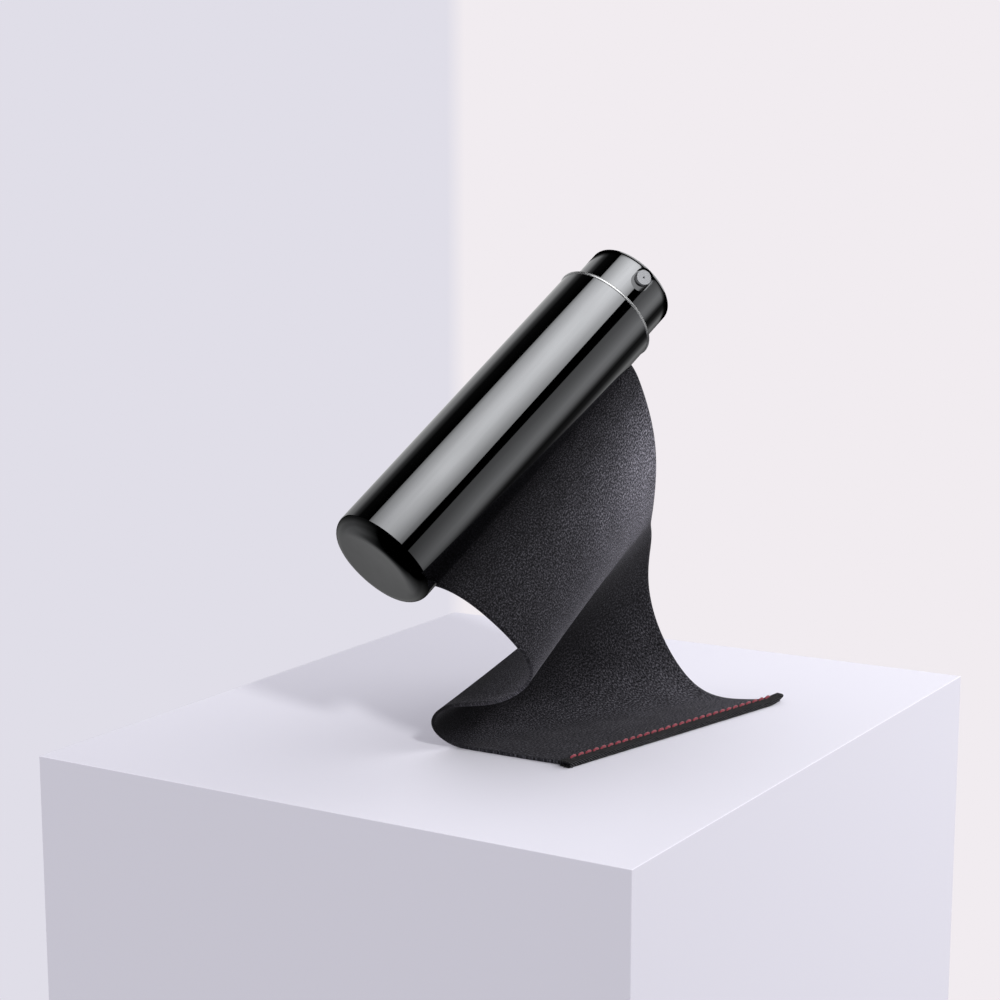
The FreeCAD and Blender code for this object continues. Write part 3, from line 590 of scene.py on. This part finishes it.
print("bead faces", len(bead.data.polygons))

# %% [markdown]
# ## The cloth
# A microfibre strip, 92 mm wide. It lies flat behind the hem, folds back over itself at the left,
# then swings up to the tape on the tube. A simulation would only drop it flat, because the real
# one keeps the bend that the bottle holds it in, so the sheet is a grid whose rows are laid
# between its two cut edges. Each cut edge is a smooth curve through a few stations.

# %% The cut edges
CLOTH_WIDTH = 92 * MM
CLOTH_THICKNESS = 0.8 * MM
LEFT_STATIONS = [
    (-32.64, -32.41, 0.85), (-43.5, -26, 0.5), (-55, -19.5, 0.45), (-64, -15, 0.8),
    (-68.5, -16.5, 3.5), (-71, -20, 8.5), (-67, -29.5, 16), (-54, -47.5, 22.5),
    (-45, -62.5, 32), (-46.5, -69.5, 42), (-57, -66.5, 52),
]
RIGHT_STATIONS = [
    (32.64, 32.41, 0.85), (26.5, 32.8, 0.65), (20, 33, 0.65), (8.5, 40, 2.6),
    (-2, 45, 16.5), (-7, 43, 33.5), (-7.1, 35.5, 48.5), (-7.9, 25.5, 56.5),
    (-8, 14.5, 64.5), (-8.5, 4, 84), (-13, -0.5, 101.5),
]
BOND_RADIUS = 15.65 * MM
BOND_STEPS = 3
BOND_END = 208.3
LEFT_BOND_START = 172.3
LEFT_BOND_HEIGHT = 9.7 * MM
RIGHT_BOND_START = 188.3
RIGHT_BOND_HEIGHT = 100 * MM


def on_tube(azimuth, along):
    """Point on the cloth's middle where it lies round the tube."""
    return base + about_axis(azimuth, 90) * BOND_RADIUS + axis * along


def bonded(first, last, along):
    """Stations of a cut edge round the tube's back."""
    steps = range(BOND_STEPS + 1)
    return [on_tube(first + (last - first) * step / BOND_STEPS, along) for step in steps]


left_stations = [Vector(spot) * MM for spot in LEFT_STATIONS]
left_stations += bonded(LEFT_BOND_START, BOND_END, LEFT_BOND_HEIGHT)
right_stations = [Vector(spot) * MM for spot in RIGHT_STATIONS]
right_stations += bonded(RIGHT_BOND_START, BOND_END, RIGHT_BOND_HEIGHT)
print(len(left_stations), "stations on each cut edge")

# %% [markdown]
# ### From stations to curves
# A natural cubic spline is the curve that a thin springy strip takes through fixed points, which
# is close to what a cloth's edge does. Both edges share one scale of length, taken half way
# between them, so that the rows run straight across the strip.


# %% Smooth curves through the stations
def strides(left, right):
    """Length along the strip at each station, taken half way between its edges."""
    marks = [0.0]
    for index in range(1, len(left)):
        left_step = (left[index] - left[index - 1]).length
        right_step = (right[index] - right[index - 1]).length
        marks.append(marks[-1] + (left_step + right_step) / 2)
    return np.array(marks)


def smooth_through(spots, marks, wanted):
    """Natural cubic spline through the stations."""
    spots = np.array(spots)
    count = len(marks)
    gaps = np.diff(marks)
    system = np.eye(count)
    rates = np.zeros((count, 3))
    for index in range(1, count - 1):
        before, after = gaps[index - 1], gaps[index]
        system[index, index - 1: index + 2] = before, 2 * (before + after), after
        ahead = (spots[index + 1] - spots[index]) / after
        behind = (spots[index] - spots[index - 1]) / before
        rates[index] = 6 * (ahead - behind)
    curve = np.linalg.solve(system, rates)
    span = np.clip(np.searchsorted(marks, wanted) - 1, 0, count - 2)
    gap = gaps[span][:, None]
    low = (marks[span + 1] - wanted)[:, None]
    high = (wanted - marks[span])[:, None]
    bend = (curve[span] * low**3 + curve[span + 1] * high**3) / (6 * gap)
    start = (spots[span] / gap - curve[span] * gap / 6) * low
    end = (spots[span + 1] / gap - curve[span + 1] * gap / 6) * high
    return bend + start + end


ROWS = 200
COLUMNS = 90
marks = strides(left_stations, right_stations)
cloth_length = marks[-1]
wanted = np.linspace(0, cloth_length, ROWS + 1)
left_edge = smooth_through(left_stations, marks, wanted)
right_edge = smooth_through(right_stations, marks, wanted)
print("strip length, mm:", round(cloth_length / MM, 1))

# %% [markdown]
# ### The sheet
# A flat grid with a UV map is bent row by row: each point slides to its place between the two
# edges. The map stays as it was on the flat strip, so patterns on it bend with the cloth. Then
# the sheet gets its thickness, half to each side.


# %% The sheet
def thicken(sheet, thickness):
    """Give the selected sheet its thickness, half to each side."""
    wall = sheet.modifiers.new("wall", "SOLIDIFY")
    wall.thickness = thickness
    wall.offset = 0
    bpy.ops.object.modifier_apply(modifier=wall.name)


cloth = new_piece(
    "cleaning_cloth", bpy.ops.mesh.primitive_grid_add,
    x_subdivisions=COLUMNS, y_subdivisions=ROWS, size=2, calc_uvs=True,
)
for spot in cloth.data.vertices:
    row = round((spot.co.y + 1) / 2 * ROWS)
    across = (spot.co.x + 1) / 2
    spot.co = Vector(left_edge[row] * (1 - across) + right_edge[row] * across)
bpy.ops.object.shade_smooth()
thicken(cloth, CLOTH_THICKNESS)
print("cloth faces", len(cloth.data.polygons))

# %% [markdown]
# ### Microfibre suede
# The nap is charcoal with a little violet in it. It is mottled at three scales: speckle where
# single tufts catch the light, a finer grain that only the bump takes, and soft clouds where a
# hand has brushed the nap. The pattern follows the sheet's own UV map, so it bends with the
# cloth. Sheen lifts it at grazing angles.
#
# The colour also carries painted light and shade. Two ramps along the strip, one for each cut edge,
# set how light it is at each station, and a third blends them across: painted highlights on the
# bulge at the right and on the fold's lip at the left, and painted shade in the hollow under the
# fold and on the back layer where the front one shades it. Lamps alone would give softer zones,
# which could not be placed.

# %% The suede's grain
SUEDE_STOPS = [
    (0.4, (0.003, 0.003, 0.0037)), (0.5, (0.016, 0.0155, 0.0185)), (0.62, (0.105, 0.102, 0.116)),
]
microfibre, tree, shader = new_finish("microfibre_suede", (0.05, 0.049, 0.056), 0.95)
flat_size = (CLOTH_WIDTH / MM, cloth_length / MM, 1)
place = own_place(tree, flat_size, "UV")
clouds = mottle(tree, place, 0.14, 2.0)
tufts = mottle(tree, place, 1.9, 3.0, 0.8)
speckle = mottle(tree, place, 4.0, 2.0, 0.6)
tuft_tone = shades(tree, tufts, SUEDE_STOPS)
cloud_tone = shades(tree, clouds, [(0.3, 0.72), (0.7, 1.0)])
mottled = mix_of(tree, 1.0, tuft_tone, cloud_tone, "MULTIPLY")
print(microfibre.name)

# %% Painted light and shade on the cloth
# Painted light and shade at stations along each cut edge: low tones are painted shade, high ones
# painted highlights.
LEFT_LIGHT_PAINT = [
    (0, 0.24), (2, 0.24), (3, 0.2), (3.6, 0.14), (4.2, 0.06), (5, 0.012), (6, 0.02), (7, 0.28),
    (7.6, 0.45), (8.3, 0.22), (9, 0.13), (10, 0.12), (13, 0.14),
]
RIGHT_LIGHT_PAINT = [
    (0, 0.36), (2, 0.36), (3, 0.33), (4, 0.15), (5, 0.11), (6, 0.09), (7, 0.2), (8, 0.75),
    (9, 0.88), (9.6, 0.45), (10, 0.18), (13, 0.18),
]
RIGHTWARD_STOPS = [(0.0, 0.0), (0.4, 0.12), (0.7, 0.5), (0.9, 0.95), (1.0, 1.0)]
LIGHT_PAINT_GAIN = 5.0


def light_paint_stops(tones):
    """Ramp stops from (station, tone) pairs, with each station as a share of the length."""
    stations = [station for station, tone in tones]
    shares = np.interp(stations, range(len(marks)), marks) / cloth_length
    return [(share, tone) for share, (station, tone) in zip(shares, tones)]


light_paint_uv = tree.nodes.new("ShaderNodeTexCoord")
spread = parts_of(tree, light_paint_uv.outputs["UV"])
left_light_paint_ramp = shades(tree, spread["Y"], light_paint_stops(LEFT_LIGHT_PAINT))
right_light_paint_ramp = shades(tree, spread["Y"], light_paint_stops(RIGHT_LIGHT_PAINT))
painted_light_zones = mix_of(tree, shades(tree, spread["X"], RIGHTWARD_STOPS), left_light_paint_ramp, right_light_paint_ramp)
# The grain times the painted light and shade, then scaled up by one gain.
grain_and_painted_light = mix_of(tree, 1.0, mottled, painted_light_zones, "MULTIPLY")
lifted = tree.nodes.new("ShaderNodeVectorMath")
lifted.operation = "SCALE"
lifted.inputs["Scale"].default_value = LIGHT_PAINT_GAIN
tree.links.new(grain_and_painted_light, lifted.inputs[0])
tree.links.new(lifted.outputs["Vector"], shader.inputs["Base Color"])
print(len(LEFT_LIGHT_PAINT), "and", len(RIGHT_LIGHT_PAINT), "nap stops")

# %% Sheen, bump and the suede on the cloth
shader.inputs["Sheen Weight"].default_value = 0.07
shader.inputs["Sheen Roughness"].default_value = 0.4
shader.inputs["Sheen Tint"].default_value = (0.75, 0.73, 0.8, 1)
shader.inputs["Specular IOR Level"].default_value = 0.15
nap = raise_by(tree, shader, tufts, 0.35, 0.25 * MM)
fine_nap = raise_by(tree, shader, speckle, 0.4, 0.15 * MM)
tree.links.new(nap.outputs["Normal"], fine_nap.inputs["Normal"])
cloth.data.materials.append(microfibre)
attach(cloth, "carrier")
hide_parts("cloth")
print(cloth.name, "wears", microfibre.name)

# %% [markdown]
# ## The hem
# A woven tape is folded over the cloth's end and topstitched in crimson. The tape is a strip of
# grid whose rows run round the fold: under the cloth, round the edge, and back over the top. It
# runs a little past the cloth at both ends. Towards the right it slims and lifts to a tip.

# %% Hem directions
HEM_HEADING = math.radians(44.8)
HEM_HALF = 47.3 * MM
HEM_TOP = 1.7 * MM
TAPE = 0.3 * MM
FOLD_OUT = 0.9 * MM
LEAF_IN = 3.0 * MM
hem_along = Vector((math.cos(HEM_HEADING), math.sin(HEM_HEADING), 0))
hem_inward = Vector((-math.sin(HEM_HEADING), math.cos(HEM_HEADING), 0))


def hem_point(along, inward, height):
    """Place on the hem: along it, in from the cloth's end, and up."""
    return hem_along * along + hem_inward * inward + Vector((0, 0, height))


print("hem half length, mm:", round(HEM_HALF / MM, 1))


# %% The tape's section
SECTION_STEPS = 8
TABLE_GAP = 0.02 * MM


def tape_section():
    """Middle of the tape from its lower inner edge, round the fold, to its upper inner edge."""
    low = TAPE / 2 + TABLE_GAP
    high = HEM_TOP - TAPE / 2
    centre = (low + high) / 2
    radius = (high - low) / 2
    leaf = LEAF_IN + FOLD_OUT - radius
    shares = [step / SECTION_STEPS for step in range(SECTION_STEPS + 1)]
    under = [(LEAF_IN - leaf * share, low) for share in shares]
    turns = [math.pi * share for share in shares[1:-1]]
    fold = [
        (radius - FOLD_OUT - radius * math.sin(turn), centre - radius * math.cos(turn))
        for turn in turns
    ]
    over = [(-FOLD_OUT + radius + leaf * share, high) for share in shares]
    return under + fold + over


section = tape_section()
print("points round the fold:", len(section))

# %% The tape
HEM_STEPS = 240
MIDDLE_IN = 1 * MM
MIDDLE_UP = 0.85 * MM
TIP_START = 40 * MM
TIP_SLIMMING = 0.45
TIP_LIFT = 1.1 * MM
WOBBLE = 0.12 * MM
WOBBLE_RATES = (700, 300, 200)
hem = new_piece(
    "hem_tape", bpy.ops.mesh.primitive_grid_add,
    x_subdivisions=HEM_STEPS, y_subdivisions=len(section) - 1, size=2, calc_uvs=True,
)
for spot in hem.data.vertices:
    inward, height = section[round((spot.co.y + 1) / 2 * (len(section) - 1))]
    along = spot.co.x * HEM_HALF
    to_tip = max(0.0, (along - TIP_START) / (HEM_HALF - TIP_START))
    slim = 1 - TIP_SLIMMING * to_tip**2
    rates = [size * rate for size, rate in zip((along, inward, height), WOBBLE_RATES)]
    wobble = noise.noise(Vector(rates))
    slim_inward = MIDDLE_IN + (inward - MIDDLE_IN) * slim
    slim_height = MIDDLE_UP + (height - MIDDLE_UP) * slim + TIP_LIFT * to_tip**2
    spot.co = hem_point(along, slim_inward, slim_height) + hem_inward * wobble * WOBBLE
bpy.ops.object.shade_smooth()
thicken(hem, TAPE)
print("hem faces", len(hem.data.polygons))

# %% [markdown]
# ### Woven tape
# The tape is a dull black weave, whose slanting ribs just catch the light. Uneven diagonal waves
# give the ribs their tone and their relief. Modelling each thread would take far more faces than
# such a narrow tape is worth.

# %% Woven tape finish
TAPE_SPREAD = (94.6, 9.0, 1)
WEAVE_STOPS = [
    (0.25, (0.0012, 0.0012, 0.0012)), (0.6, (0.006, 0.006, 0.0065)), (0.9, (0.055, 0.054, 0.057)),
]
woven_tape, tree, shader = new_finish("woven_tape", (0.012, 0.012, 0.013), 0.85)
ribs = tree.nodes.new("ShaderNodeTexWave")
ribs.wave_type = "BANDS"
ribs.bands_direction = "DIAGONAL"
ribs.inputs["Scale"].default_value = 0.6
ribs.inputs["Distortion"].default_value = 2.5
ribs.inputs["Detail"].default_value = 2.0
ribs.inputs["Detail Scale"].default_value = 3.0
tree.links.new(own_place(tree, TAPE_SPREAD, "UV"), ribs.inputs["Vector"])
tree.links.new(shades(tree, ribs.outputs["Fac"], WEAVE_STOPS), shader.inputs["Base Color"])
raise_by(tree, shader, ribs.outputs["Fac"], 0.9, 0.25 * MM)
shader.inputs["Sheen Weight"].default_value = 0.04
shader.inputs["Specular IOR Level"].default_value = 0.12
hem.data.materials.append(woven_tape)
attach(hem, "carrier")
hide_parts("hem_binding")
print(hem.name, "wears", woven_tape.name)

# %% [markdown]
# ### Loose threads
# The tape is cut off plain at its left end, where its threads have begun to fray. Each loose
# thread is a thin six-sided rod, copied, stretched and turned by smooth noise, so that no two are
# alike and yet every run gives the same ones. Hair would need a system of its own for so few.


# %% Copies of a small model
def copy_of(model, matrix):
    """A copy of a small model in the scene, with its points moved by a matrix."""
    twin = model.copy()
    twin.data = model.data.copy()
    twin.data.transform(matrix)
    bpy.context.scene.collection.objects.link(twin)
    return twin


def joined(title, copies):
    """Copies joined as one piece."""
    bpy.ops.object.select_all(action="DESELECT")
    for twin in copies:
        twin.select_set(True)
    bpy.context.view_layer.objects.active = copies[0]
    bpy.ops.object.join()
    piece = bpy.context.object
    piece.name = title
    return piece


print("copying helpers ready")

# %% Loose threads at the hem's left end
FRAYS_IN_ROW = 17
FRAY_ROWS = 2
FRAY_COUNT = FRAYS_IN_ROW * FRAY_ROWS
FRAY_RADIUS = 0.055 * MM
FRAY_LENGTH = 2 * MM
SHORTEST_SHARE = 0.6
EXTRA_SHARE = 0.9
FRAY_TILT = 55
FRAY_SWING = 70
FRAY_START = -0.7 * MM
FRAY_SPREAD = 3.4 * MM
FRAY_INSET = 0.2 * MM
FRAY_LOW = 0.45 * MM
FRAY_ROW_RISE = 1.1 * MM
FRAY_SHIFT = 0.3 * MM
fibre = new_piece(
    "loose_fibre", bpy.ops.mesh.primitive_cylinder_add,
    vertices=6, radius=FRAY_RADIUS, depth=FRAY_LENGTH,
)
frays = []
for index in range(FRAY_COUNT):
    seed = Vector((index * 5.3, 1.7, 0.4))
    row, step = divmod(index, FRAYS_IN_ROW)
    length = SHORTEST_SHARE + EXTRA_SHARE * abs(noise.noise(seed))
    tilt = Matrix.Rotation(math.radians(90 + FRAY_TILT * noise.noise(seed * 1.3)), 4, "Y")
    swing = math.radians(FRAY_SWING * noise.noise(seed * 2.1))
    heading = Matrix.Rotation(HEM_HEADING + swing, 4, "Z")
    inward = FRAY_START + FRAY_SPREAD * step / (FRAYS_IN_ROW - 1)
    height = FRAY_LOW + FRAY_ROW_RISE * row + FRAY_SHIFT * noise.noise(seed * 3.3)
    place = Matrix.Translation(hem_point(-HEM_HALF + FRAY_INSET, inward, height))
    stretch = Matrix.Diagonal((1, 1, length, 1))
    frays.append(copy_of(fibre, place @ heading @ tilt @ stretch))
fray = joined("hem_fray", frays)
bpy.ops.object.shade_smooth()
fray.data.materials.append(woven_tape)
bpy.data.objects.remove(fibre)
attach(fray, "carrier")
print("loose threads", FRAY_COUNT)

# %% [markdown]
# ### Topstitching
# Each stitch is a short length of two-ply thread, thick in the middle and dipping into the tape
# at its ends. One is made from a sphere, twisted by moving its points, and then copied along the
# hem: a row on top and the same row underneath, as the needle leaves it.

# %% One stitch
STITCH_HALF = 1.42 * MM
STITCH_ARCH = 0.34 * MM
THREAD = 0.38 * MM
PLY_DEPTH = 0.22
PLY_TWIST = 2.4
stitch = new_piece(
    "one_stitch", bpy.ops.mesh.primitive_uv_sphere_add, segments=12, ring_count=12, radius=1
)
for spot in stitch.data.vertices:
    way = spot.co.z
    round_way = math.atan2(spot.co.y, spot.co.x)
    profile = (1 - way**4) ** 0.5 if abs(way) < 1 else 0.0
    ply = 1 + PLY_DEPTH * math.cos(2 * (round_way - PLY_TWIST * way))
    across = THREAD * profile * ply * math.cos(round_way)
    upright = THREAD * profile * ply * math.sin(round_way)
    arch = STITCH_ARCH * (1 - way**2)
    spot.co = Vector((way * STITCH_HALF, across, upright + arch))
bpy.ops.object.shade_smooth()
print("stitch faces", len(stitch.data.polygons))

# %% [markdown]
# ### Rows of stitches
# The thread is dull crimson, lighter on the crowns of its fibres. A sewing machine lays its
# stitches at one pitch and at a slight slant, and each sits a little differently, which a small
# shift by smooth noise gives. The lower row is the upper one turned upside down.

# %% Crimson thread
crimson, tree, shader = new_finish("crimson_thread", (0.36, 0.045, 0.07), 0.6)
fibres = mottle(tree, own_place(tree), 2500.0, 3.0)
tone = shades(tree, fibres, [(0.3, (0.15, 0.013, 0.022)), (0.7, (0.38, 0.052, 0.078))])
tree.links.new(tone, shader.inputs["Base Color"])
raise_by(tree, shader, fibres, 0.4, 0.05 * MM)
shader.inputs["Sheen Weight"].default_value = 0.25
print(crimson.name)

# %% Rows of stitches
STITCH_PITCH = 3.05 * MM
STITCH_COUNT = 29
STITCH_INSET = 0.75 * MM
STITCH_SHIFT = 0.08 * MM
STITCH_SLANT = 9
SLANT_SPREAD = 4
TOP_ROW_HEIGHT = HEM_TOP - 0.02 * MM
LOW_ROW_HEIGHT = 0.62 * MM


def stitch_row(title, height, facing):
    """Copies of the stitch along the hem, joined as one piece."""
    copies = []
    for index in range(STITCH_COUNT):
        along = (index - (STITCH_COUNT - 1) / 2) * STITCH_PITCH
        jitter = noise.noise(Vector((index * 3.7, facing, 0)))
        slant = Matrix.Rotation(math.radians(STITCH_SLANT + SLANT_SPREAD * jitter), 4, "Z")
        flip = Matrix.Diagonal((1, 1, facing, 1))
        turn = Matrix.Rotation(HEM_HEADING, 4, "Z") @ slant @ flip
        place = hem_point(along, LEAF_IN - STITCH_INSET + STITCH_SHIFT * jitter, height)
        copies.append(copy_of(stitch, Matrix.Translation(place) @ turn))
    row = joined(title, copies)
    if facing < 0:
        row.data.flip_normals()
    row.data.materials.append(crimson)
    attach(row, "carrier")
    return row


top_row = stitch_row("hem_stitches_top", TOP_ROW_HEIGHT, facing=1)
low_row = stitch_row("hem_stitches_under", LOW_ROW_HEIGHT, facing=-1)
bpy.data.objects.remove(stitch)
print("stitches", 2 * STITCH_COUNT)

# %% [markdown]
# ## What the cloth is
# The strip was cut flat, and its width and length are known from that. Only its flat size is
# printed here.

# %% The cloth's flat size
print("flat size, mm:", round(CLOTH_WIDTH / MM, 1), "x", round(cloth_length / MM, 1))
